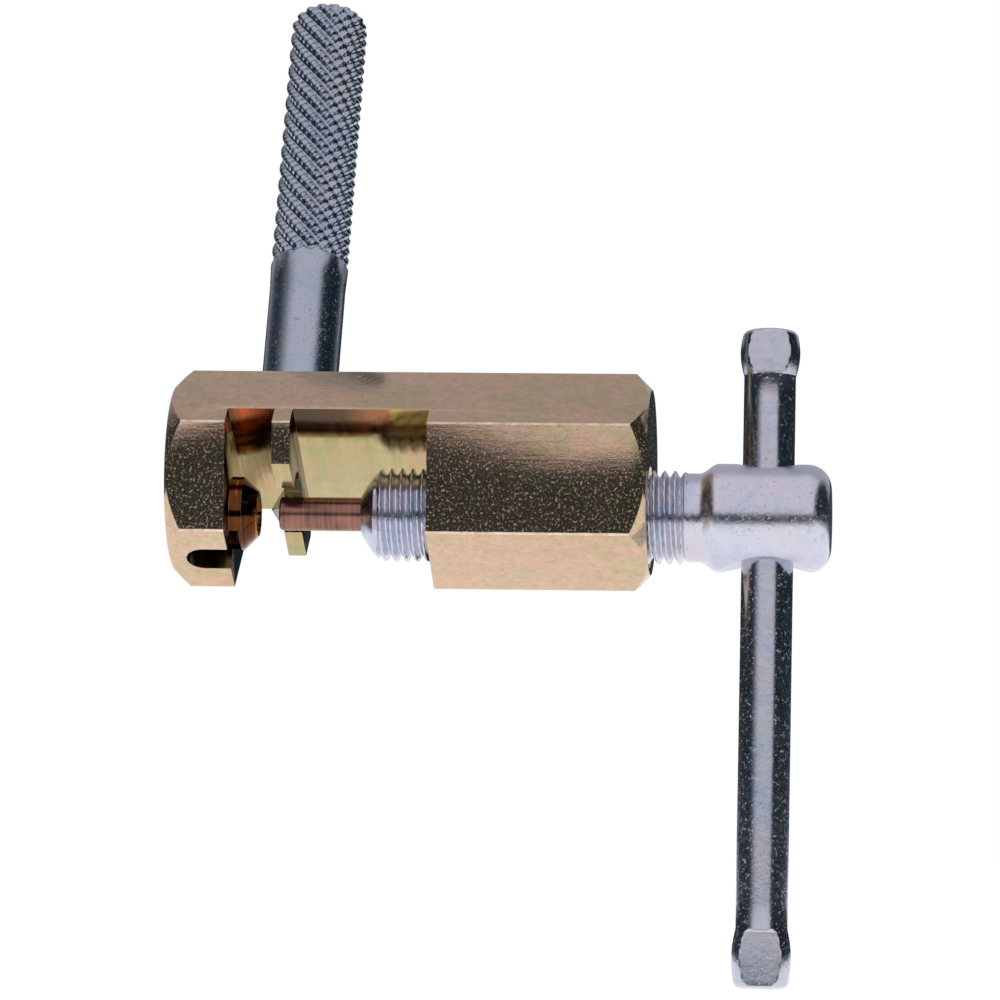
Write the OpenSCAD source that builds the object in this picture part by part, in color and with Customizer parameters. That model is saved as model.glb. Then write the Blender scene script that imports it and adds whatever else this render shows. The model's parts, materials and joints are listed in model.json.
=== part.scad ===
// Hand chain tool: a hexagon bar body with a chain cradle, a screwed-in knurled handle,
// and a screw spindle that drives a loose pin and is turned by a sliding T-bar.
// The origin is on the spindle's axis at the tip of the anvil nose, where a chain's outer plate rests.
// +X runs along the spindle towards the T-bar. The handle and the T-bar lean back from +Z towards +Y.

/* [Body] */
// Size of the hexagon bar across its flats
hex_flats = 19.05; // [18:0.05:20]
// Length of the end jaw, from the bar's end to its inner face
jaw_length = 6.05; // [5:0.05:8]
// Width of the chain slot between the jaw and the cradle tooth
slot_width = 4.75; // [4.5:0.05:6]
// Thickness of the cradle tooth, which fits between a chain's inner plates
tooth_thickness = 1.8; // [1.5:0.1:2.2]
// Length of the window between the tooth and the threaded block
window_length = 13.75; // [12:0.25:15]
// Length of the threaded block that holds the spindle
block_length = 21.9; // [20:0.1:26]
// Distance from the spindle's axis back to the bar's axis
axis_offset = 4.1; // [3.8:0.05:4.4]
// Distance from the spindle's axis to the milled floor of the slot and window
floor_height = 6.45; // [6:0.05:7]
// Distance from the spindle's axis to the tips of the tooth's two prongs
prong_tip_height = 0.4; // [0:0.1:1]
// Radius of the saddle between the prongs
saddle_radius = 4.3; // [4.1:0.05:4.5]
// Size of the turned bevel at both ends of the bar
end_bevel = 1.7; // [1:0.1:2]
// Angle that the body and handle lean back about the spindle's axis
lean_angle = 30; // [0:5:60]

/* [Anvil and spoke key] */
// Height of the anvil nose above the jaw's inner face
nose_height = 2.65; // [2:0.05:3]
// Radius of the anvil nose where it meets the jaw
nose_radius = 3.7; // [3:0.1:4]
// Radius of the anvil nose at its tip
nose_tip_radius = 2.3; // [2.2:0.1:2.8]
// Radius of the hole that a chain rivet is pushed into
rivet_hole_radius = 1.9; // [1.85:0.01:2]
// Width of the spoke key notch in the jaw
key_width = 3.7; // [3.2:0.1:4]
// Depth of the spoke key notch
key_depth = 3; // [2:0.1:3.2]
// Length of the notch from the jaw's inner face to its round end
key_length = 4.3; // [3.5:0.1:4.6]

/* [Spindle] */
// Outside diameter of the thread
thread_diameter = 9.4; // [9.3:0.05:9.45]
// Pitch of the thread, 24 turns to the inch
thread_pitch = 1.0583; // [1:0.0001:1.1]
// Distance from the anvil's tip to the spindle's rounded end
spindle_start = 10.5; // [9.5:0.1:11]
// Length of the thread, with the rounded end
thread_length = 34; // [32:0.5:36]
// Length of the head that holds the T-bar
head_length = 13.25; // [12.5:0.25:14]
// Diameter of the head
head_diameter = 10.9; // [10.5:0.1:11.5]
// Radial clearance of the spindle in the body
thread_clearance = 0.05; // [0.02:0.01:0.1]

/* [Drive pin] */
// Diameter of the drive pin
pin_diameter = 3.4; // [3.3:0.05:3.5]
// Distance from the anvil's tip to the pin's tip
pin_start = 2.2; // [2.15:0.05:3]
// Whole length of the pin, with the part inside the spindle
pin_length = 16.3; // [15:0.1:18]

/* [T-bar] */
// Diameter of the bar
bar_diameter = 5.2; // [5:0.1:5.3]
// Length of the bar above the spindle's axis
bar_above = 19.05; // [14:0.05:30]
// Length of the bar below the spindle's axis
bar_below = 47.05; // [40:0.05:52]
// Width of the pressed ends that keep the bar in the head
end_width = 6; // [5.8:0.1:6.4]
// Thickness of the pressed ends across their flats
end_thickness = 4.3; // [4:0.1:4.8]
// Length of the upper pressed end
upper_end_length = 4.7; // [4:0.1:6]
// Length of the lower pressed end
lower_end_length = 5.9; // [4:0.1:6]
// Angle that the bar and its hole lean back about the spindle's axis
bar_lean = 6; // [0:1:30]

/* [Handle] */
// Diameter of the plain stretch of the handle
handle_diameter = 7.8; // [7.5:0.1:8.2]
// Diameter over the knurled grip
grip_diameter = 8; // [7.8:0.1:8.4]
// Length of the handle outside the body
handle_length = 48; // [40:1:60]
// Length of the plain stretch between the body and the grip
plain_length = 15.9; // [12:0.1:20]
// Distance of the handle's axis from the anvil's tip
handle_place = 3; // [2:0.1:5]

/* [Hidden] */
slack = 1;
fine = 96;
body_start = -nose_height - jaw_length;
slot_start = -nose_height;
tooth_start = slot_start + slot_width;
window_start = tooth_start + tooth_thickness;
block_start = window_start + window_length;
body_end = block_start + block_length;
hex_radius = hex_flats / sqrt(3);
hex_half = hex_flats / 2;
face_height = axis_offset + hex_half;
spigot_radius = 3;
spigot_length = 5.5;
spigot_gap = 0.02;
thread_radius = thread_diameter / 2;
thread_form = 0.6;
thread_depth = thread_form * thread_pitch;
neck_relief = 0.25;
round_end = 2.1;
round_height = 2.7;
groove_count = floor((thread_length - round_end) / thread_pitch) - 1;
head_start = spindle_start + thread_length;
head_end = head_start + head_length;
head_flare = 2.3;
head_round = 2.2;
bar_setback = 6.9;
bar_place = head_start + bar_setback;
bar_hole_radius = bar_diameter / 2 + 0.08;
pin_bore_radius = pin_diameter / 2 + 0.04;
pin_end_gap = 0.3;
gusset_width = 2.4;
gusset_height = 3;
gusset_turn = 23;

// Turns a shape drawn along +Z so that it runs along +X
module along_x() {
    rotate([0, 90, 0]) children();
}

// Leans a piece back from +Z about the spindle's axis
module lean(angle) {
    rotate([-angle, 0, 0]) children();
}

// Hexagon bar with a turned bevel at each end, two of its flats square to the lean
module hex_bar() {
    translate([body_start, 0, axis_offset]) along_x() intersection() {
        rotate(90) cylinder(r = hex_radius, h = body_end - body_start, $fn = 6);
        rotate_extrude($fn = fine) bevel_outline(body_end - body_start);
    }
}

// Half outline of a cylinder that just holds the hexagon, bevelled at both ends
module bevel_outline(length) {
    margin = 0.05;
    outer = hex_radius + margin;
    polygon([
        [0, 0], [outer - end_bevel, 0], [outer, end_bevel],
        [outer, length - end_bevel], [outer - end_bevel, length], [0, length]
    ]);
}

// Cut from the open side of the bar down to the floor, between two places on the spindle's axis
module floor_cut(from, to) {
    translate([from, -hex_radius - slack, -hex_radius - slack])
        cube([to - from, 2 * (hex_radius + slack), hex_radius + slack + floor_height]);
}

// Sloping web behind the rear prong, where it grows out of the floor, wider towards the rear
module gusset() {
    overlap = 0.5;
    intersection() {
        hex_bar();
        translate([tooth_start, saddle_radius, 0]) rotate(gusset_turn)
            translate([0, 0, -hex_radius]) cube([hex_radius, 2 * hex_radius, 3 * hex_radius]);
        translate([tooth_start, hex_radius, floor_height]) rotate([90, 0, 0])
            linear_extrude(height = hex_radius - saddle_radius)
                polygon([[overlap, overlap], [-gusset_width, overlap], [-gusset_width, 0],
                    [0, -gusset_height], [overlap, -gusset_height]]);
    }
}

// Nose on the jaw that holds a chain's outer plate close around the rivet
module anvil_nose() {
    taper = nose_radius - nose_tip_radius;
    translate([slot_start - slack, 0, 0]) along_x() {
        cylinder(r = nose_radius, h = slack + nose_height - taper, $fn = fine);
        translate([0, 0, slack + nose_height - taper])
            cylinder(r1 = nose_radius, r2 = nose_tip_radius, h = taper, $fn = fine);
    }
}

// Round-ended notch in the jaw's open face that turns a spoke nipple
module key_notch() {
    face = axis_offset - hex_half;
    round_place = slot_start - key_length + key_width / 2;
    translate([0, 0, face - slack]) {
        translate([round_place, 0, 0]) cylinder(d = key_width, h = slack + key_depth, $fn = fine);
        translate([round_place, -key_width / 2, 0])
            cube([slot_start - round_place + slack, key_width, slack + key_depth]);
    }
}

// Screwed seat of the handle in the flat opposite the cradle
module handle_seat() {
    translate([handle_place, 0, face_height - spigot_length])
        cylinder(r = spigot_radius, h = spigot_length + slack, $fn = fine);
}

module body() {
    color("#b39a63") lean(lean_angle) {
        difference() {
            hex_bar();
            floor_cut(slot_start, tooth_start);
            floor_cut(window_start, block_start);
            translate([tooth_start - slack, 0, 0]) along_x()
                cylinder(r = saddle_radius, h = tooth_thickness + 2 * slack, $fn = fine);
            translate([tooth_start - slack / 2, -hex_radius - slack, -hex_radius])
                cube([tooth_thickness + slack, 2 * (hex_radius + slack), hex_radius + prong_tip_height]);
            translate([block_start - slack, 0, 0]) along_x()
                cylinder(r = thread_radius + thread_clearance, h = block_length + 2 * slack, $fn = fine);
            translate([body_start - slack, 0, 0]) along_x()
                cylinder(r = rivet_hole_radius, h = jaw_length + 2 * slack, $fn = fine);
            key_notch();
            handle_seat();
        }
        difference() {
            anvil_nose();
            translate([slot_start - 2 * slack, 0, 0]) along_x()
                cylinder(r = rivet_hole_radius, h = nose_height + 3 * slack, $fn = fine);
        }
        gusset();
    }
}

// Turned rod with a rounded knurled grip and a spigot that screws into the body
module handle() {
    rounding = 1.8;
    step = 0.2;
    plain = handle_diameter / 2;
    grip = grip_diameter / 2;
    color("#8b929c") lean(lean_angle) translate([handle_place, 0, face_height]) {
        rotate_extrude($fn = fine) {
            polygon([
                [0, 0], [plain, 0], [plain, plain_length], [grip, plain_length + step],
                [grip, handle_length - rounding],
                for (turn = [10:10:80])
                    [grip - rounding + rounding * cos(turn), handle_length - rounding + rounding * sin(turn)],
                [grip - rounding, handle_length], [0, handle_length]
            ]);
        }
        translate([0, 0, step - spigot_length])
            cylinder(r = spigot_radius - spigot_gap, h = spigot_length, $fn = fine);
    }
}

// Rounded end of the spindle, the thread as rings of the same pitch and depth, and the head
module spindle_outline() {
    end_face = thread_radius - round_height;
    head_radius = head_diameter / 2;
    root = thread_radius - thread_depth;
    thread_end = round_end + groove_count * thread_pitch;
    shoulder = 0.5;
    shoulder_run = 0.6;
    polygon([
        [0, 0], [end_face, 0],
        for (turn = [10:10:80])
            [end_face + round_height * sin(turn), round_end - round_end * cos(turn)],
        for (turn = [0:groove_count - 1]) each [
            [thread_radius, round_end + turn * thread_pitch],
            [root, round_end + (turn + 0.5) * thread_pitch]
        ],
        [thread_radius, thread_end], [thread_radius - neck_relief, thread_end + neck_relief],
        [thread_radius - neck_relief, thread_length],
        [head_radius - shoulder, thread_length + head_flare - shoulder_run],
        [head_radius, thread_length + head_flare],
        [head_radius, thread_length + head_length - head_round],
        for (turn = [10:10:80])
            [head_radius - head_round + head_round * cos(turn),
                thread_length + head_length - head_round + head_round * sin(turn)],
        [head_radius - head_round, thread_length + head_length],
        [0, thread_length + head_length]
    ]);
}

// Cross hole of the head, with a deep countersink below and a shallow one above
module bar_hole() {
    head_radius = head_diameter / 2;
    sink = 2.2;
    lip = 0.7;
    over = 0.1;
    translate([0, 0, -head_diameter]) cylinder(r = bar_hole_radius, h = 2 * head_diameter, $fn = fine);
    translate([0, 0, -head_radius - over])
        cylinder(r1 = bar_hole_radius + sink, r2 = bar_hole_radius, h = sink, $fn = fine);
    translate([0, 0, head_radius + over - lip])
        cylinder(r1 = bar_hole_radius, r2 = bar_hole_radius + lip, h = lip, $fn = fine);
}

module spindle() {
    bore_length = pin_start + pin_length - spindle_start + pin_end_gap;
    color("#b9bdc4") difference() {
        translate([spindle_start, 0, 0]) along_x() rotate_extrude($fn = fine) spindle_outline();
        translate([spindle_start - slack, 0, 0]) along_x()
            cylinder(r = pin_bore_radius, h = slack + bore_length, $fn = fine);
        translate([bar_place, 0, 0]) lean(bar_lean) bar_hole();
    }
}

// Hardened pin that sits loose in the spindle's end and doesn't turn with it
module drive_pin() {
    tip_bevel = 0.2;
    radius = pin_diameter / 2;
    color("#9c7363") translate([pin_start, 0, 0]) along_x() rotate_extrude($fn = fine)
        polygon([
            [0, 0], [radius - tip_bevel, 0], [radius, tip_bevel],
            [radius, pin_length - tip_bevel], [radius - tip_bevel, pin_length], [0, pin_length]
        ]);
}

// Pressed end of the bar, barrel shaped with two flats, growing along +Z from the bar
module pressed_end(length) {
    neck = bar_diameter / 2;
    belly = end_width / 2;
    draw = 0.35;
    edge = 0.6;
    tip = belly - draw;
    intersection() {
        rotate_extrude($fn = fine)
            polygon([
                [0, 0], [neck, 0],
                for (step = [1:7]) [neck + (belly - neck) * sin(step * 90 / 8), step * length / 16],
                for (step = [0:6]) [tip + (belly - tip) * cos(step * 90 / 7), length * (0.5 + step / 16)],
                [tip, length - edge], [tip - edge, length], [0, length]
            ]);
        translate([-belly, -end_thickness / 2, 0]) cube([end_width, end_thickness, length]);
    }
}

module t_bar() {
    shaft_low = -bar_below + lower_end_length;
    shaft_high = bar_above - upper_end_length;
    color("#aab0ba") translate([bar_place, 0, 0]) lean(bar_lean) {
        translate([0, 0, shaft_low])
            cylinder(d = bar_diameter, h = shaft_high - shaft_low, $fn = fine);
        translate([0, 0, shaft_high]) pressed_end(upper_end_length);
        translate([0, 0, shaft_low]) mirror([0, 0, 1]) pressed_end(lower_end_length);
    }
}

body();
handle();
spindle();
drive_pin();
t_bar();
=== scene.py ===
import json
import math

import bmesh
import bpy
import numpy as np
from mathutils import Matrix, Vector


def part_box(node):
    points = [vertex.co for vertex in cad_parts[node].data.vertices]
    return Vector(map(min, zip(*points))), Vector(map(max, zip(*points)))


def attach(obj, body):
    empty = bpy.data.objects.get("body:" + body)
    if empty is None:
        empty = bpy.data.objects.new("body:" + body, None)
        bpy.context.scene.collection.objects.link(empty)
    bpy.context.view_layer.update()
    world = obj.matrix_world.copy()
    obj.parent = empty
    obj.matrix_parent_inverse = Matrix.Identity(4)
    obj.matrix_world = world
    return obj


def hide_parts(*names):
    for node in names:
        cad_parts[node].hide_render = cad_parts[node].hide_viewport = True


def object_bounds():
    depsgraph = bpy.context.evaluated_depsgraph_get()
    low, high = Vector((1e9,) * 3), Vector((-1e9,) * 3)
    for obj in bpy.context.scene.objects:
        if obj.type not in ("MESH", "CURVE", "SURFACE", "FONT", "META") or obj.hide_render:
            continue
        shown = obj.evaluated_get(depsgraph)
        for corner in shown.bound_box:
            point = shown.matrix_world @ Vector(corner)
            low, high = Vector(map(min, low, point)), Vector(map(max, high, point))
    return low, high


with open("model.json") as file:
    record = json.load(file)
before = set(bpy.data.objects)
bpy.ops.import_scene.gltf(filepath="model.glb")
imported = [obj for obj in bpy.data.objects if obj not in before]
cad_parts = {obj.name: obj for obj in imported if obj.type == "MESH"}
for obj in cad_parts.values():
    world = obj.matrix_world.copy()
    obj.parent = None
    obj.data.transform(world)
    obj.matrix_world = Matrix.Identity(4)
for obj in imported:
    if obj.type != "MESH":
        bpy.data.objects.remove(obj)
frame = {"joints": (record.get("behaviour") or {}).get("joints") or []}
cad_low, cad_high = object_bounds()

MM = 0.001
TAU = 2 * math.pi

# ---------------------------------------------------------------- driving sizes, from the frame
body_low, body_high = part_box("body")
spindle_low, spindle_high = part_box("spindle")
pin_low, pin_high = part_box("drive_pin")
bar_low, bar_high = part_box("t_bar")
handle_low, handle_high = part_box("handle")

FLATS = body_high.y - body_low.y
BAR_CENTRE = Vector((0, (body_low.y + body_high.y) / 2, (body_low.z + body_high.z) / 2))
AXIS_OFFSET = BAR_CENTRE.length
LEAN = math.atan2(BAR_CENTRE.y, BAR_CENTRE.z)
LEAN_TURN = Matrix.Rotation(-LEAN, 4, "X")
CORNERS = FLATS / math.sqrt(3)

# Places along the spindle's axis, from the anvil's tip at 0
NOSE_HEIGHT = 2.65 * MM
SLOT_START = -NOSE_HEIGHT
TOOTH_START = SLOT_START + 4.75 * MM
WINDOW_START = TOOTH_START + 1.8 * MM
BLOCK_START = WINDOW_START + 13.75 * MM
FLOOR = 6.45 * MM
PRONG_TIP = 0.4 * MM
SADDLE = 4.3 * MM
RIVET_HOLE = 1.9 * MM
THREAD_R = 4.7 * MM
PITCH = 1.0583 * MM
CORNER_ROUND = 0.3 * MM
HANDLE_PLACE = (handle_low.x + handle_high.x) / 2
BAR_PLACE = (bar_low.x + bar_high.x) / 2
HEAD_START = 44.5 * MM
EDGE_ROUND = 0.13 * MM
# Finish indices; the wall and nose finishes carry painted shade.
ON_SKIN, ON_FLOOR, ON_CORNER, ON_SHADE_PAINTED_WALL, ON_SHADE_PAINTED_NOSE = range(5)
TABLE_GLOW = 0.62

# The T-bar's own axis, as its sliding joint says
slide = next(joint for joint in frame["joints"] if joint["name"] == "bar_slide")
BAR_LEAN = math.atan2(slide["axis"][1], slide["axis"][2])
BAR_TURN = Matrix.Translation((BAR_PLACE, 0, 0)) @ Matrix.Rotation(-BAR_LEAN, 4, "X")
BAR_RADIUS = 2.6 * MM
BAR_FLAT = 2.15 * MM
BAR_TOP = (bar_high.z - BAR_FLAT * math.sin(BAR_LEAN)) / math.cos(BAR_LEAN)
BAR_LOW = (bar_low.z + BAR_FLAT * math.sin(BAR_LEAN)) / math.cos(BAR_LEAN)


# ---------------------------------------------------------------- mesh helpers
def new_object(name, mesh):
    made = bpy.data.objects.new(name, mesh)
    bpy.context.scene.collection.objects.link(made)
    return made


def mesh_from(name, vertices, faces):
    mesh = bpy.data.meshes.new(name)
    mesh.from_pydata([tuple(v) for v in vertices], [], faces)
    mesh.validate()
    work = bmesh.new()
    work.from_mesh(mesh)
    bmesh.ops.remove_doubles(work, verts=work.verts, dist=1e-7)
    bmesh.ops.recalc_face_normals(work, faces=work.faces)
    work.to_mesh(mesh)
    work.free()
    return new_object(name, mesh)


def box_solid(name, low, high):
    corners = [(x, y, z) for x in (low[0], high[0]) for y in (low[1], high[1]) for z in (low[2], high[2])]
    faces = [(0, 1, 3, 2), (4, 6, 7, 5), (0, 4, 5, 1), (2, 3, 7, 6), (0, 2, 6, 4), (1, 5, 7, 3)]
    return mesh_from(name, corners, faces)


def prism_x(name, outline, start, end):
    """A closed (y, z) outline extruded along X."""
    count = len(outline)
    points = [(start, y, z) for y, z in outline] + [(end, y, z) for y, z in outline]
    faces = [tuple(range(count)), tuple(range(2 * count - 1, count - 1, -1))]
    faces += [(i, (i + 1) % count, (i + 1) % count + count, i + count) for i in range(count)]
    return mesh_from(name, points, faces)


def lathe(name, outline, sides=96):
    """Revolves (distance along the axis, radius) pairs about X. Ends at radius 0 close to a point."""
    points, faces = [], []
    for along, radius in outline:
        for k in range(sides):
            angle = TAU * k / sides
            points.append((along, radius * math.cos(angle), radius * math.sin(angle)))
    for row in range(len(outline) - 1):
        for k in range(sides):
            a, b = row * sides + k, row * sides + (k + 1) % sides
            faces.append((a, b, b + sides, a + sides))
    faces.append(tuple(range(sides)))
    last = (len(outline) - 1) * sides
    faces.append(tuple(range(last + sides - 1, last - 1, -1)))
    return mesh_from(name, points, faces)


def surface_of(name, alongs, sides, radius_at):
    """A closed skin about X: radius_at(along, angle) for each ring, capped by a flat face at both ends."""
    angles = np.arange(sides) * TAU / sides
    rings = [np.stack([np.full(sides, x), radius_at(x, angles) * np.cos(angles),
                       radius_at(x, angles) * np.sin(angles)], 1) for x in alongs]
    points = np.concatenate(rings)
    count = len(alongs)
    faces = []
    for row in range(count - 1):
        base = row * sides
        for k in range(sides):
            nxt = (k + 1) % sides
            faces.append((base + k, base + nxt, base + nxt + sides, base + k + sides))
    faces.append(tuple(range(sides)))
    faces.append(tuple(range(count * sides - 1, (count - 1) * sides - 1, -1)))
    return mesh_from(name, points, faces)


def boolean(target, tool, operation):
    """Combines two solids exactly and removes the tool."""
    step = target.modifiers.new("cut", "BOOLEAN")
    step.operation = operation
    step.solver = "EXACT"
    step.object = tool
    bake_modifiers(target)
    bpy.data.objects.remove(tool)


def bake_modifiers(target):
    graph = bpy.context.evaluated_depsgraph_get()
    graph.update()
    made = bpy.data.meshes.new_from_object(target.evaluated_get(graph))
    target.modifiers.clear()
    old = target.data
    target.data = made
    bpy.data.meshes.remove(old)


def soften_edges(target, width, angle=28, segments=2, finish=-1):
    step = target.modifiers.new("edge", "BEVEL")
    step.width = width
    step.segments = segments
    step.limit_method = "ANGLE"
    step.angle_limit = math.radians(angle)
    step.use_clamp_overlap = True
    step.miter_outer = "MITER_ARC"
    step.material = finish
    bake_modifiers(target)


def smooth(target, angle=30):
    """Smooth shading, kept sharp where faces meet at more than the angle."""
    work = bmesh.new()
    work.from_mesh(target.data)
    for edge in work.edges:
        turned = edge.calc_face_angle(0) if len(edge.link_faces) == 2 else 0
        edge.smooth = turned < math.radians(angle)
    for face in work.faces:
        face.smooth = True
    work.to_mesh(target.data)
    work.free()


def tidy_mesh(target, distance=2e-6):
    work = bmesh.new()
    work.from_mesh(target.data)
    bmesh.ops.remove_doubles(work, verts=work.verts, dist=distance)
    bmesh.ops.dissolve_degenerate(work, edges=work.edges, dist=distance)
    work.to_mesh(target.data)
    work.free()


def place(target, matrix):
    target.data.transform(matrix)
    target.data.update()


# ---------------------------------------------------------------- materials
class Paint:
    """A node material with short ways to add the nodes used here."""

    def __init__(self, name):
        self.material = bpy.data.materials.new(name)
        self.material.use_nodes = True
        self.tree = self.material.node_tree
        self.shader = self.tree.nodes["Principled BSDF"]
        self.coords = self.tree.nodes.new("ShaderNodeTexCoord").outputs["Object"]

    def link(self, source, target):
        self.tree.links.new(source, target)

    def node(self, kind, **values):
        made = self.tree.nodes.new(kind)
        for key, value in values.items():
            setattr(made, key, value)
        return made

    def stretched(self, scale, turn=(0, 0, 0)):
        mapping = self.node("ShaderNodeMapping")
        mapping.inputs["Scale"].default_value = scale
        mapping.inputs["Rotation"].default_value = turn
        self.link(self.coords, mapping.inputs["Vector"])
        return mapping.outputs["Vector"]

    def noise(self, scale, detail=3, roughness=0.55, where=None, distortion=0.0):
        made = self.node("ShaderNodeTexNoise")
        made.inputs["Scale"].default_value = scale
        made.inputs["Detail"].default_value = detail
        made.inputs["Roughness"].default_value = roughness
        made.inputs["Distortion"].default_value = distortion
        self.link(where or self.coords, made.inputs["Vector"])
        return made.outputs["Fac"]

    def cells(self, scale, where=None):
        made = self.node("ShaderNodeTexVoronoi")
        made.inputs["Scale"].default_value = scale
        self.link(where or self.coords, made.inputs["Vector"])
        return made

    def warped(self, scale, amount):
        """Object coordinates pushed about by noise, so that cells grow irregular."""
        made = self.node("ShaderNodeTexNoise")
        made.inputs["Scale"].default_value = scale
        self.link(self.coords, made.inputs["Vector"])
        push = self.node("ShaderNodeVectorMath", operation="MULTIPLY_ADD")
        self.link(made.outputs["Color"], push.inputs[0])
        push.inputs[1].default_value = (amount, amount, amount)
        self.link(self.coords, push.inputs[2])
        return push.outputs["Vector"]

    def along(self, direction):
        """How far a point lies along a direction, in metres."""
        made = self.node("ShaderNodeVectorMath", operation="DOT_PRODUCT")
        self.link(self.coords, made.inputs[0])
        made.inputs[1].default_value = direction
        return made.outputs["Value"]

    def ramp(self, source, stops):
        made = self.node("ShaderNodeValToRGB")
        marks = made.color_ramp.elements
        while len(marks) < len(stops):
            marks.new(0.5)
        for mark, (place_at, colour) in zip(marks, stops):
            mark.position = place_at
            mark.color = (*colour, 1) if len(colour) == 3 else colour
        self.link(source, made.inputs["Fac"])
        return made.outputs["Color"]

    def levels(self, source, low, high, new_low=0.0, new_high=1.0):
        made = self.node("ShaderNodeMapRange")
        made.inputs["From Min"].default_value = low
        made.inputs["From Max"].default_value = high
        made.inputs["To Min"].default_value = new_low
        made.inputs["To Max"].default_value = new_high
        self.link(source, made.inputs["Value"])
        return made.outputs["Result"]

    def maths(self, operation, a, b):
        made = self.node("ShaderNodeMath", operation=operation)
        for socket, value in zip(made.inputs, (a, b)):
            if isinstance(value, (int, float)):
                socket.default_value = value
            else:
                self.link(value, socket)
        return made.outputs["Value"]

    def mix(self, factor, a, b):
        made = self.node("ShaderNodeMix", data_type="RGBA")
        for socket, value in ((made.inputs[0], factor), (made.inputs[6], a), (made.inputs[7], b)):
            if isinstance(value, tuple):
                socket.default_value = (*value, 1)
            elif isinstance(value, (int, float)):
                socket.default_value = value
            else:
                self.link(value, socket)
        return made.outputs[2]

    def bump(self, height, distance, strength=1.0, after=None):
        made = self.node("ShaderNodeBump")
        made.inputs["Distance"].default_value = distance
        made.inputs["Strength"].default_value = strength
        self.link(height, made.inputs["Height"])
        if after:
            self.link(after, made.inputs["Normal"])
        return made.outputs["Normal"]

    def finish(self, colour, roughness, normal=None, metallic=1.0):
        self.shader.inputs["Metallic"].default_value = metallic
        for name, value in (("Base Color", colour), ("Roughness", roughness)):
            if isinstance(value, tuple):
                self.shader.inputs[name].default_value = (*value, 1)
            elif isinstance(value, (int, float)):
                self.shader.inputs[name].default_value = value
            else:
                self.link(value, self.shader.inputs[name])
        if normal:
            self.link(normal, self.shader.inputs["Normal"])
        return self.material


def yellow_plating():
    """Yellow passivated zinc on drawn bar: tan with pink and green patches, flecks and scratches."""
    p = Paint("yellow_plating")
    patches = p.noise(190, 4, 0.65, distortion=0.8)
    colour = p.ramp(patches, [(0.30, (0.46, 0.42, 0.23)), (0.43, (0.56, 0.44, 0.26)),
                              (0.57, (0.66, 0.44, 0.31)), (0.72, (0.54, 0.42, 0.24))])
    stain = p.levels(p.noise(520, 5, 0.75), 0.56, 0.70, 0.0, 0.45)
    colour = p.mix(stain, colour, (0.42, 0.31, 0.18))
    grain = p.cells(1700, p.warped(1300, 0.0003))
    tone = p.levels(grain.outputs["Color"], 0.1, 0.9, 0.0, 0.35)
    colour = p.mix(tone, colour, (0.80, 0.62, 0.44))
    scratches = p.noise(420, 7, 0.85, p.stretched((0.10, 1, 1), (0.3, 0.5, 0.8)))
    marks = p.levels(scratches, 0.66, 0.72)
    colour = p.mix(p.maths("MULTIPLY", marks, 0.5), colour, (0.86, 0.76, 0.66))
    dull = p.levels(p.noise(700, 5, 0.7), 0.35, 0.7, 0.05, 0.11)
    rough = p.maths("ADD", dull, p.maths("MULTIPLY", marks, 0.12))
    pits = p.levels(p.noise(3600, 4, 0.8), 0.60, 0.76)
    normal = p.bump(pits, 0.00008, 1.0)
    normal = p.bump(p.noise(3200, 2, 0.6), 0.000004, 0.8, normal)
    normal = p.bump(scratches, 0.00002, 0.5, normal)
    return p.finish(colour, rough, normal, metallic=0.95)


def shade_painted_wall():
    """Painted shade for the side-milled walls and hollows: near-black olive over coarse cutter marks."""
    p = Paint("shade_painted_wall")
    lines = p.noise(1500, 4, 0.75, p.stretched((0.2, 1, 1)))
    colour = p.ramp(lines, [(0.32, (0.03, 0.028, 0.018)), (0.55, (0.09, 0.07, 0.03)),
                            (0.74, (0.28, 0.20, 0.08))])
    normal = p.bump(lines, 0.00003, 0.7)
    return p.finish(colour, p.levels(lines, 0.3, 0.7, 0.12, 0.24), normal)


def nose_painted_shade():
    """The polished nose, glossy, in painted shade: dark brown-black, with gold rings as painted highlights.
    """
    p = Paint("nose_painted_shade")
    rings = p.noise(1300, 4, 0.7, p.stretched((1, 0.05, 0.05)))
    colour = p.ramp(rings, [(0.32, (0.05, 0.018, 0.008)), (0.56, (0.13, 0.045, 0.012)),
                            (0.70, (0.80, 0.38, 0.05))])
    return p.finish(colour, p.levels(rings, 0.3, 0.7, 0.08, 0.16), p.bump(rings, 0.00002, 0.5))


def worn_plating():
    """The same plating rubbed bright along the bar's corners."""
    p = Paint("worn_plating")
    wear = p.noise(900, 5, 0.7)
    colour = p.ramp(wear, [(0.35, (0.60, 0.44, 0.30)), (0.52, (0.78, 0.64, 0.48)),
                           (0.70, (0.90, 0.80, 0.68))])
    normal = p.bump(p.noise(3000, 3, 0.7), 0.00004, 0.8)
    return p.finish(colour, p.levels(wear, 0.3, 0.7, 0.22, 0.34), normal)


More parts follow.
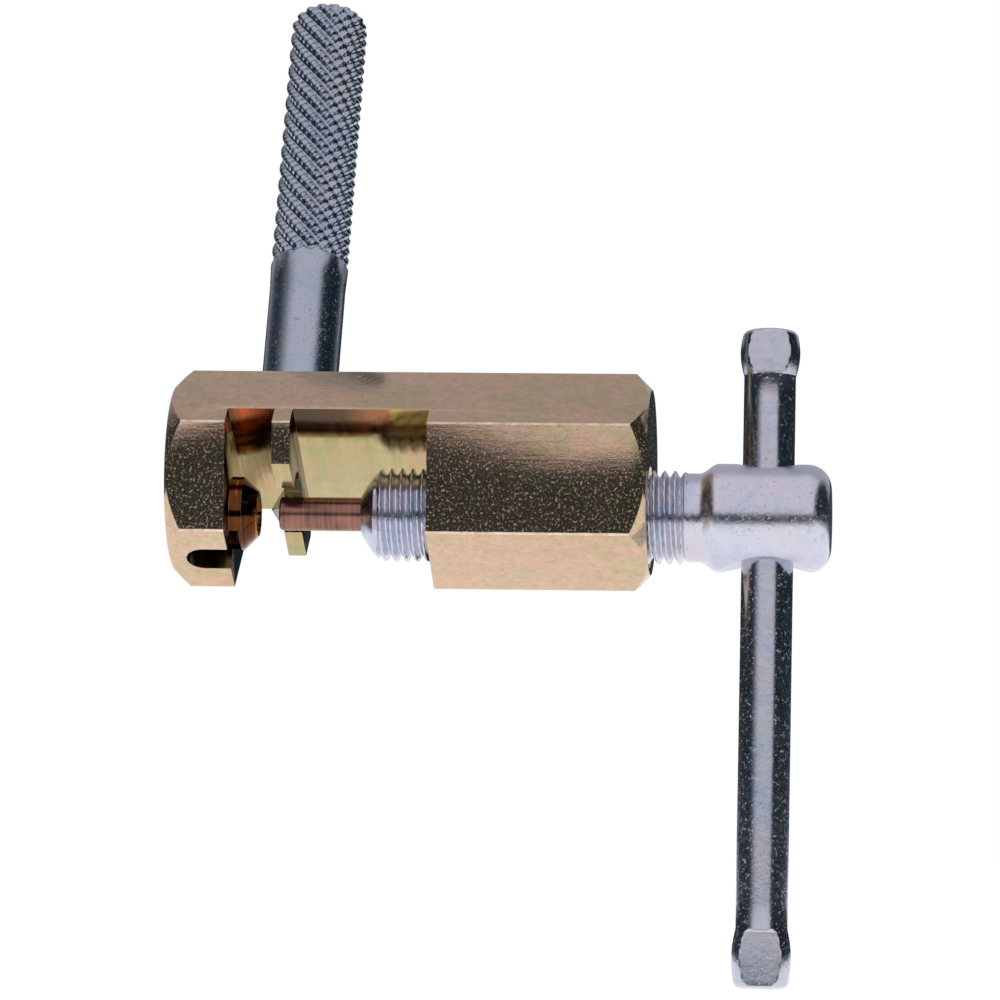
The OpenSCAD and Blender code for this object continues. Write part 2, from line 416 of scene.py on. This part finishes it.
def milled_plating_painted_reflection():
    """The same plating over milled faces: cutter lines, greener, with a painted reflection band at the front
    of the floor.
    """
    p = Paint("milled_plating_painted_reflection")
    patches = p.noise(230, 4, 0.6, distortion=0.8)
    colour = p.ramp(patches, [(0.30, (0.38, 0.40, 0.17)), (0.50, (0.52, 0.43, 0.21)),
                              (0.70, (0.56, 0.36, 0.20))])
    lines = p.noise(1700, 4, 0.7, p.stretched((1, 0.03, 0.03)))
    colour = p.mix(p.levels(lines, 0.35, 0.65, 0.0, 0.35), colour, (0.40, 0.30, 0.16))
    # Painted reflection: a band along the floor's front edge, coloured dark, red and gold by place along X,
    # stands in for the jaw, pin and spindle mirrored in the floor.
    rearward = LEAN_TURN.to_3x3() @ Vector((0, 1, 0))
    reflection_band_edge = -5.0 * MM
    upward = LEAN_TURN.to_3x3() @ Vector((0, 0, 1))
    on_floor = p.levels(p.along(upward), FLOOR - 0.5 * MM, FLOOR - 0.2 * MM)
    blush_and_painted_reflection = p.levels(p.along(rearward), reflection_band_edge - 0.5 * MM, reflection_band_edge, 0.9, 0.0)
    painted_reflection_hues = p.ramp(p.levels(p.along((1, 0, 0)), SLOT_START, BLOCK_START),
                  [(0.00, (0.03, 0.02, 0.01)), (0.07, (0.50, 0.09, 0.02)), (0.22, (0.40, 0.12, 0.05)),
                   (0.33, (0.04, 0.025, 0.02)), (0.58, (0.08, 0.04, 0.03)), (0.70, (0.30, 0.11, 0.05)),
                   (0.79, (0.34, 0.13, 0.05)), (0.82, (0.55, 0.36, 0.08)), (1.00, (0.55, 0.36, 0.08))])
    colour = p.mix(p.maths("MULTIPLY", blush_and_painted_reflection, on_floor), colour, painted_reflection_hues)
    across = p.noise(2100, 3, 0.7, p.stretched((0.04, 1, 1)))
    rough = p.levels(lines, 0.3, 0.7, 0.10, 0.20)
    normal = p.bump(lines, 0.00002, 0.6)
    normal = p.bump(across, 0.000012, 0.5, normal)
    return p.finish(colour, rough, normal)


def bright_zinc(name, tint, peel, low, high, depth):
    """Bright zinc plate: cool grey with faint blue and pink patches and a hammered fine peel."""
    p = Paint(name)
    patches = p.noise(230, 4, 0.6, distortion=0.6)
    cool = tuple(c * f for c, f in zip(tint, (0.84, 0.93, 1.0)))
    warm = tuple(c * f for c, f in zip(tint, (1.04, 0.97, 0.95)))
    colour = p.ramp(patches, [(0.35, cool), (0.52, tint), (0.68, warm)])
    specks = p.levels(p.noise(1500, 5, 0.8), 0.64, 0.74, 0.0, 0.22)
    colour = p.mix(specks, colour, tuple(c * 0.45 for c in tint))
    rough = p.levels(p.noise(900, 5, 0.7), 0.3, 0.72, low, high)
    flecks = p.levels(p.noise(2600, 4, 0.8), 0.60, 0.76)
    normal = p.bump(p.noise(peel, 4, 0.7), depth, 0.9)
    normal = p.bump(flecks, 1.6 * depth, 0.8, normal)
    return p.finish(colour, rough, normal)


def temper_steel():
    """Hardened pin: bronze brown with polished lines around it."""
    p = Paint("temper_steel")
    rings = p.noise(2400, 3, 0.6, p.stretched((1, 0.03, 0.03)))
    colour = p.ramp(rings, [(0.30, (0.12, 0.06, 0.045)), (0.55, (0.24, 0.13, 0.10)),
                            (0.75, (0.40, 0.24, 0.18))])
    blush_and_painted_reflection = p.levels(p.noise(330, 3), 0.40, 0.65, 0.0, 0.35)
    colour = p.mix(blush_and_painted_reflection, colour, (0.50, 0.24, 0.17))
    rough = p.levels(rings, 0.3, 0.7, 0.24, 0.32)
    normal = p.bump(rings, 0.000012, 0.4)
    return p.finish(colour, rough, normal)


def table_paint():
    """Frosted white acrylic, softly lit from inside like a light table."""
    p = Paint("light_table")
    tone = p.ramp(p.noise(6, 3), [(0.3, (0.86, 0.86, 0.86)), (0.7, (0.90, 0.90, 0.90))])
    p.shader.inputs["Emission Color"].default_value = (1.0, 0.99, 1.0, 1)
    p.shader.inputs["Emission Strength"].default_value = TABLE_GLOW
    return p.finish(tone, 0.75, metallic=0.0)


YELLOW = yellow_plating()
WORN = worn_plating()
MILLED = milled_plating_painted_reflection()
SHADE_PAINTED_WALL = shade_painted_wall()
SHADE_PAINTED_NOSE = nose_painted_shade()
SPINDLE_ZINC = bright_zinc("spindle_zinc", (0.63, 0.64, 0.71), 2300, 0.16, 0.28, 0.000022)
BAR_ZINC = bright_zinc("bar_zinc", (0.56, 0.59, 0.65), 1500, 0.13, 0.22, 0.00002)
HANDLE_ZINC = bright_zinc("handle_zinc", (0.42, 0.47, 0.54), 2600, 0.16, 0.26, 0.00002)
PIN_STEEL = temper_steel()


# ---------------------------------------------------------------- body
def rounded_hexagon(rounding):
    """(y, z) outline of the bar in its own frame, two flats square to Z, corners rounded."""
    outline = []
    for corner in range(6):
        middle = math.radians(60 * corner)
        reach = CORNERS - rounding / math.cos(math.radians(30))
        centre = (reach * math.cos(middle), reach * math.sin(middle))
        for step in range(-3, 4):
            turn = middle + math.radians(10 * step)
            outline.append((centre[0] + rounding * math.cos(turn), centre[1] + rounding * math.sin(turn)))
    return outline


def hexagon_bar():
    """The bar with a turned bevel at both ends."""
    bevel = 1.7 * MM
    outer = CORNERS + 0.05 * MM
    bar = prism_x("body", rounded_hexagon(CORNER_ROUND), body_low.x, body_high.x)
    turned = lathe("turned", [(body_low.x, outer - bevel), (body_low.x + bevel, outer),
                              (body_high.x - bevel, outer), (body_high.x, outer - bevel)], 128)
    boolean(bar, turned, "INTERSECT")
    place(bar, Matrix.Translation((0, 0, AXIS_OFFSET)))
    return bar


def open_cut(start, end, floor):
    reach = 14 * MM
    return box_solid("cut", (start, -reach, -reach), (end, reach, floor))


def round_cut(start, end, radius, sides=96):
    return lathe("cut", [(start, radius), (end, radius)], sides)


def key_cut():
    """Round-ended notch for a spoke nipple in the jaw's open face."""
    width, depth, length = 3.7 * MM, 3.0 * MM, 4.3 * MM
    face = AXIS_OFFSET - FLATS / 2
    middle = SLOT_START - length + width / 2
    outline = [(SLOT_START + MM, -width / 2), (SLOT_START + MM, width / 2)]
    outline += [(middle + width / 2 * math.cos(math.radians(a)), width / 2 * math.sin(math.radians(a)))
                for a in range(90, 271, 6)]
    count = len(outline)
    points = [(x, y, face - MM) for x, y in outline] + [(x, y, face + depth) for x, y in outline]
    faces = [tuple(range(count)), tuple(range(2 * count - 1, count - 1, -1))]
    faces += [(i, (i + 1) % count, (i + 1) % count + count, i + count) for i in range(count)]
    return mesh_from("cut", points, faces)


def gusset():
    """Sloping web behind the rear prong, wider towards the rear."""
    width, height, overlap = 2.4 * MM, 3.0 * MM, 0.5 * MM
    web_turn = math.radians(23)
    outline = [(TOOTH_START + overlap, FLOOR + overlap), (TOOTH_START - width, FLOOR + overlap),
               (TOOTH_START - width, FLOOR), (TOOTH_START, FLOOR - height),
               (TOOTH_START + overlap, FLOOR - height)]
    near, far = SADDLE, CORNERS + MM
    points = [(x, near, z) for x, z in outline] + [(x, far, z) for x, z in outline]
    count = len(outline)
    faces = [tuple(range(count)), tuple(range(2 * count - 1, count - 1, -1))]
    faces += [(i, (i + 1) % count, (i + 1) % count + count, i + count) for i in range(count)]
    web = mesh_from("gusset", points, faces)
    reach = 20 * MM
    keep = box_solid("keep", (0, 0, -reach), (reach, reach, 2 * reach))
    place(keep, Matrix.Translation((TOOTH_START, near, 0)) @ Matrix.Rotation(web_turn, 4, "Z"))
    boolean(web, keep, "INTERSECT")
    boolean(web, hexagon_bar(), "INTERSECT")
    return web


def anvil_nose():
    base, tip = 3.7 * MM, 2.3 * MM
    taper = base - tip
    return lathe("nose", [(SLOT_START - MM, base), (-taper, base), (-0.15 * MM, tip + 0.15 * MM),
                          (0, tip)], 96)


def bore_mouths():
    """Threaded bore of the block: a core hole with a bevelled mouth at each end."""
    core, mouth = THREAD_R + 0.05 * MM, 0.35 * MM
    return lathe("cut", [(BLOCK_START - MM, core + mouth), (BLOCK_START, core + mouth),
                         (BLOCK_START + mouth, core), (body_high.x - mouth, core),
                         (body_high.x, core + mouth), (body_high.x + MM, core + mouth)], 96)


def face_finish(centre, normal):
    """Index of the finish for a face: drawn skin, milled floor with its painted reflection band, rubbed
    corner, milled wall or nose, both of these in painted shade.
    """
    bevel = 1.8 * MM
    across = Vector((0, centre.y, centre.z - AXIS_OFFSET))
    skin = max(abs(across.dot(Vector((0, math.cos(a), math.sin(a)))))
               for a in (math.radians(30), math.radians(90), math.radians(150)))
    inside = body_low.x + bevel < centre.x < body_high.x - bevel
    from_axis = math.hypot(centre.y, centre.z)
    if inside and skin < FLATS / 2 - 0.12 * MM:
        # The nose gets the painted shade and painted highlights.
        if from_axis < 3.8 * MM and centre.x < 0.1 * MM:
            return ON_SHADE_PAINTED_NOSE
        # The saddle, the web's side, the notch and the side walls get the painted shade.
        in_saddle = from_axis < SADDLE + 0.1 * MM and centre.x < WINDOW_START + 0.1 * MM
        if in_saddle and from_axis > SADDLE - 0.1 * MM:
            return ON_SHADE_PAINTED_WALL
        by_web = TOOTH_START - 2.5 * MM < centre.x < TOOTH_START + 0.1 * MM
        if by_web and centre.y > SADDLE - 0.3 * MM and centre.z < FLOOR - 0.2 * MM:
            return ON_SHADE_PAINTED_WALL
        in_notch = centre.x < SLOT_START and centre.z < 0
        return ON_SHADE_PAINTED_WALL if in_notch or abs(normal.x) > 0.7 else ON_FLOOR
    if across.length > CORNERS - 0.75 * CORNER_ROUND:
        return ON_CORNER
    return ON_SKIN


def make_body():
    body = hexagon_bar()
    boolean(body, open_cut(SLOT_START, TOOTH_START, FLOOR), "DIFFERENCE")
    boolean(body, open_cut(WINDOW_START, BLOCK_START, FLOOR), "DIFFERENCE")
    boolean(body, gusset(), "UNION")
    boolean(body, open_cut(TOOTH_START - 0.3 * MM, WINDOW_START + 0.3 * MM, PRONG_TIP), "DIFFERENCE")
    boolean(body, round_cut(TOOTH_START - 0.5 * MM, WINDOW_START + MM, SADDLE), "DIFFERENCE")
    boolean(body, bore_mouths(), "DIFFERENCE")
    boolean(body, anvil_nose(), "UNION")
    boolean(body, round_cut(body_low.x - MM, MM, RIVET_HOLE), "DIFFERENCE")
    boolean(body, key_cut(), "DIFFERENCE")
    tidy_mesh(body)
    body.data.materials.clear()
    for finish in (YELLOW, MILLED, WORN, SHADE_PAINTED_WALL, SHADE_PAINTED_NOSE):
        body.data.materials.append(finish)
    for face in body.data.polygons:
        face.material_index = ON_SKIN
    soften_edges(body, EDGE_ROUND, finish=ON_CORNER)
    smooth(body, 35)
    for face in body.data.polygons:
        if face.material_index == ON_SKIN:
            face.material_index = face_finish(face.center, face.normal)
    place(body, LEAN_TURN)
    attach(body, "frame")
    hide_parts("body")
    body.name = "body_shell"
    return body


# ---------------------------------------------------------------- handle
def ridge(phase, sharpness=1.0):
    """0 in a groove and 1 on a crest, V-shaped with a slightly rounded crest."""
    tooth = 1 - np.abs(2 * (phase - np.floor(phase)) - 1)
    return np.clip(tooth * 1.35, 0, 1) ** sharpness


def make_handle():
    plain, grip = 3.9 * MM, 4.0 * MM
    depth = 0.48 * MM
    seat = AXIS_OFFSET + FLATS / 2
    length, knurl_start, rounding = 48 * MM, 15.9 * MM, 1.8 * MM
    lead_a, starts_a = 29 * MM, 14
    lead_b, starts_b = 21.7 * MM, 18

    def radius_at(along, angles):
        if along < knurl_start:
            return np.full_like(angles, plain)
        fade = min(1.0, (along - knurl_start) / (0.5 * MM))
        first = ridge(starts_a * (along / lead_a + angles / TAU))
        second = ridge(starts_b * (along / lead_b - angles / TAU))
        radius = grip - fade * depth * (1 - 0.54 * first - 0.46 * second * (0.25 + 0.75 * first))
        end = length - along
        if end < rounding:
            drop = rounding - math.sqrt(max(0.0, rounding ** 2 - (rounding - end) ** 2))
            radius = radius - drop
        return radius

    alongs = list(np.linspace(-0.3 * MM, knurl_start, 8))
    alongs += list(np.linspace(knurl_start + 0.05 * MM, length - rounding, 270))
    alongs += [length - rounding + rounding * math.sin(math.radians(a)) for a in range(6, 91, 6)]
    handle = surface_of("handle", alongs, 224, radius_at)
    smooth(handle, 60)
    handle.data.materials.append(HANDLE_ZINC)
    upright = Matrix.Rotation(-math.pi / 2, 4, "Y")
    place(handle, LEAN_TURN @ Matrix.Translation((HANDLE_PLACE, 0, seat)) @ upright)
    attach(handle, "frame")
    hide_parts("handle")
    handle.name = "knurled_handle"
    return handle


# ---------------------------------------------------------------- spindle
def thread_radius(along, angles, crest, depth):
    """Right-hand 60 degree thread with a flat crest and root."""
    phase = (along / PITCH - angles / TAU) % 1.0
    tooth = 1 - np.abs(2 * phase - 1)
    return crest - depth * (1 - np.clip((tooth - 0.14) / 0.72, 0, 1))


def make_spindle():
    start, end = spindle_low.x, spindle_high.x
    crest, depth = THREAD_R, 0.6 * PITCH
    round_end, round_height = 2.1 * MM, 2.7 * MM
    run_out = HEAD_START - 0.9 * MM
    head_radius = (spindle_high.y - spindle_low.y) / 2
    shoulder, head_round = 2.0 * MM, 2.4 * MM
    neck = crest - 0.25 * MM

    def nose_limit(along):
        into = along - start
        if into >= round_end:
            return 1.0
        return crest - round_height * max(0.0, 1 - into / round_end) ** 1.4

    def head_limit(along):
        into = along - HEAD_START
        if into <= 0:
            return neck
        if into < shoulder:
            t = into / shoulder
            return neck + (head_radius - neck) * (0.5 - 0.5 * math.cos(math.pi * t))
        left = end - along
        if left < head_round:
            return head_radius - head_round + math.sqrt(max(0.0, head_round ** 2 - (head_round - left) ** 2))
        return head_radius

    def radius_at(along, angles):
        if along > HEAD_START:
            return np.full_like(angles, head_limit(along))
        fade = np.clip((run_out - along) / (1.0 * MM), 0, 1)
        threaded = thread_radius(along, angles, crest, depth)
        body = neck * (1 - fade) + threaded * fade
        if along < start + round_end:
            return np.minimum(body, nose_limit(along))
        return body

    nose = [start + round_end * (1 - math.cos(math.radians(a))) for a in range(0, 90, 6)]
    turns = list(np.arange(start + round_end, HEAD_START, PITCH / 20))
    head = [HEAD_START + shoulder * t / 14 for t in range(15)]
    head += [end - head_round + head_round * math.sin(math.radians(a)) for a in range(0, 91, 6)]
    spindle = surface_of("spindle", nose + turns + head, 112, radius_at)
    boolean(spindle, pin_bore(start), "DIFFERENCE")
    boolean(spindle, bar_hole(head_radius), "DIFFERENCE")
    smooth(spindle, 40)
    spindle.data.materials.clear()
    spindle.data.materials.append(SPINDLE_ZINC)
    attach(spindle, "screw")
    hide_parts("spindle")
    spindle.name = "screw_spindle"
    return spindle


def pin_bore(start):
    radius = (pin_high.y - pin_low.y) / 2 + 0.04 * MM
    return lathe("cut", [(start - MM, radius + 0.2 * MM), (start, radius + 0.2 * MM),
                         (start + 0.2 * MM, radius), (pin_high.x + 0.3 * MM, radius)], 64)


def bar_hole(head_radius):
    """Cross hole with a small lip at the top and a wide countersink below, both flared."""
    hole = BAR_RADIUS + 0.08 * MM
    sink = 2.2 * MM
    outline = [(-head_radius - MM, hole + 2.9 * MM)]
    for step in range(11):
        t = step / 10
        outline.append((-head_radius + sink * t, hole + sink * (1 - t) ** 1.4))
    for step in range(7):
        t = step / 6
        outline.append((head_radius - 0.75 * MM * (1 - t), hole + 0.75 * MM * t ** 1.8))
    outline.append((head_radius + MM, hole + 1.4 * MM))
    cutter = lathe("cut", outline, 96)
    place(cutter, BAR_TURN @ Matrix.Rotation(-math.pi / 2, 4, "Y"))
    return cutter


# ---------------------------------------------------------------- drive pin and T-bar
def make_pin():
    radius = (pin_high.y - pin_low.y) / 2
    lip = 0.25 * MM
    outline = [(pin_low.x, 0.3 * MM), (pin_low.x, radius - lip)]
    turns = [math.radians(a) for a in range(15, 91, 15)]
    outline += [(pin_low.x + lip - lip * math.cos(a), radius - lip + lip * math.sin(a)) for a in turns]
    outline += [(pin_low.x + 6 * MM, radius), (pin_high.x - lip, radius), (pin_high.x, radius - lip)]
    pin = lathe("pin", outline, 72)
    smooth(pin, 35)
    pin.data.materials.append(PIN_STEEL)
    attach(pin, "feed")
    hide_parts("drive_pin")
    pin.name = "drive_pin_steel"
    return pin


def make_bar():
    neck, flat = BAR_RADIUS, BAR_FLAT
    belly = (bar_high.x - bar_low.x) / 2
    top_length, low_length = 4.7 * MM, 5.9 * MM
    top, low = BAR_TOP, BAR_LOW

    def swell(into, length):
        t = into / length
        if t < 0.5:
            return neck + (belly - neck) * math.sin(t * math.pi)
        tip = belly - 0.35 * MM
        base = tip + (belly - tip) * math.cos((t - 0.5) * math.pi)
        edge, left = 0.6 * MM, length - into
        if left < edge:
            base -= edge - math.sqrt(max(0.0, edge ** 2 - (edge - left) ** 2))
        return base

    def ring(height, sides=96):
        into, length = 0.0, 1.0
        if height > top - top_length:
            into, length = height - (top - top_length), top_length
        elif height < low + low_length:
            into, length = (low + low_length) - height, low_length
        radius = swell(into, length) if into > 0 else neck
        pressed = min(1.0, into / (0.35 * MM)) if into > 0 else 0.0
        points = []
        for k in range(sides):
            angle = TAU * k / sides
            x, y = radius * math.cos(angle), radius * math.sin(angle)
            limit = flat + (1 - pressed) * (belly - flat)
            if abs(y) > limit:
                y = math.copysign(limit + 0.05 * (abs(y) - limit), y)
            points.append((x, y, height))
        return points

    heights = [low + low_length * t / 40 for t in range(41)]
    heights += list(np.linspace(low + low_length, top - top_length, 24)[1:])
    heights += [top - top_length * (1 - t / 40) for t in range(1, 41)]
    points, faces, sides = [], [], 96
    for height in heights:
        points += ring(height, sides)
    for row in range(len(heights) - 1):
        for k in range(sides):
            a, b = row * sides + k, row * sides + (k + 1) % sides
            faces.append((a, b, b + sides, a + sides))
    faces.append(tuple(range(sides - 1, -1, -1)))
    faces.append(tuple(range((len(heights) - 1) * sides, len(heights) * sides)))
    bar = mesh_from("bar", points, faces)
    place(bar, BAR_TURN)
    smooth(bar, 22)
    bar.data.materials.append(BAR_ZINC)
    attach(bar, "bar")
    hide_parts("t_bar")
    bar.name = "sliding_t_bar"
    return bar


# ---------------------------------------------------------------- studio
def make_camera():
    """The photographer's place: a long lens, a little to the right and just under level."""
    turn, rise, roll = math.radians(5.1), math.radians(-1.5), math.radians(0.7)
    distance, view_width, sensor = 0.620, 0.1010, 36
    middle = (cad_low + cad_high) / 2
    target = Vector((middle.x - 0.3 * MM, BAR_CENTRE.y, middle.z - 2.2 * MM))
    back = Vector((math.sin(turn) * math.cos(rise), -math.cos(turn) * math.cos(rise), math.sin(rise)))
    right = Vector((0, 0, 1)).cross(back).normalized()
    up = back.cross(right)
    rolled_right = right * math.cos(roll) + up * math.sin(roll)
    rolled_up = up * math.cos(roll) - right * math.sin(roll)
    data = bpy.data.cameras.new("camera")
    data.sensor_width = sensor
    data.lens = sensor * distance / view_width
    data.clip_start, data.clip_end = 0.01, 20
    camera = bpy.data.objects.new("camera", data)
    turned = Matrix((rolled_right, rolled_up, back)).transposed().to_4x4()
    camera.matrix_world = Matrix.Translation(target + back * distance) @ turned
    bpy.context.scene.collection.objects.link(camera)
    bpy.context.scene.camera = camera


def make_floor():
    """A light table that ends in front of the tool, so the metal mirrors the dark room past its edge."""
    gap = 1.5 * MM
    level = min(cad_low.z, bar_low.z + slide["range_m"][0] * math.cos(BAR_LEAN)) - gap
    front, side, back = -0.26, 0.5, 0.7
    points = [(x, y, level) for x, y in ((-side, front), (side, front), (side, back), (-side, back))]
    floor = mesh_from("light_table", points, [(0, 1, 2, 3)])
    if floor.data.polygons[0].normal.z < 0:
        floor.data.flip_normals()
    floor.data.materials.append(table_paint())


class Sky:
    """Short ways to build the studio's surroundings from a direction's x, y and z."""

    def __init__(self, tree):
        self.tree = tree
        coords = tree.nodes.new("ShaderNodeTexCoord")
        split = tree.nodes.new("ShaderNodeSeparateXYZ")
        tree.links.new(coords.outputs["Generated"], split.inputs[0])
        self.x, self.y, self.z = split.outputs

    def step(self, source, start, end):
        made = self.tree.nodes.new("ShaderNodeMapRange")
        made.interpolation_type = "SMOOTHSTEP"
        made.inputs["From Min"].default_value = start
        made.inputs["From Max"].default_value = end
        self.tree.links.new(source, made.inputs["Value"])
        return made.outputs["Result"]

    def maths(self, operation, a, b):
        made = self.tree.nodes.new("ShaderNodeMath")
        made.operation = operation
        for socket, value in zip(made.inputs, (a, b)):
            if isinstance(value, (int, float)):
                socket.default_value = value
            else:
                self.tree.links.new(value, socket)
        return made.outputs["Value"]

    def mix(self, factor, a, b):
        made = self.tree.nodes.new("ShaderNodeMix")
        made.data_type = "RGBA"
        self.tree.links.new(factor, made.inputs[0])
        for socket, value in ((made.inputs[6], a), (made.inputs[7], b)):
            if isinstance(value, tuple):
                socket.default_value = (*value, 1)
            else:
                self.tree.links.new(value, socket)
        return made.outputs[2]


def make_world():
    """White as seen by the camera; for the metal, a broad soft bank overhead in a dark room."""
    dark, bank, behind = (0.014, 0.025, 0.031), (0.82, 0.78, 0.84), (0.50, 0.48, 0.53)
    world = bpy.data.worlds.new("studio")
    bpy.context.scene.world = world
    world.use_nodes = True
    tree = world.node_tree
    sky = Sky(tree)
    across = sky.maths("MULTIPLY", sky.step(sky.x, -0.90, -0.42), sky.step(sky.x, 0.70, 0.56))
    raised = sky.step(sky.z, 0.11, 0.155)
    rear = sky.step(sky.y, 0.0, 0.45)
    light = sky.mix(rear, bank, behind)
    overhead = sky.maths("MULTIPLY", across, raised)
    room = sky.mix(overhead, dark, light)
    path = tree.nodes.new("ShaderNodeLightPath")
    seen = sky.mix(path.outputs["Is Camera Ray"], room, (1.0, 1.0, 1.0))
    background = tree.nodes["Background"]
    tree.links.new(seen, background.inputs["Color"])
    background.inputs["Strength"].default_value = 1.0


def make_studio():
    scene = bpy.context.scene
    scene.view_settings.view_transform = "Standard"
    make_camera()
    make_floor()
    make_world()


make_studio()
make_body()
make_handle()
make_spindle()
make_pin()
make_bar()
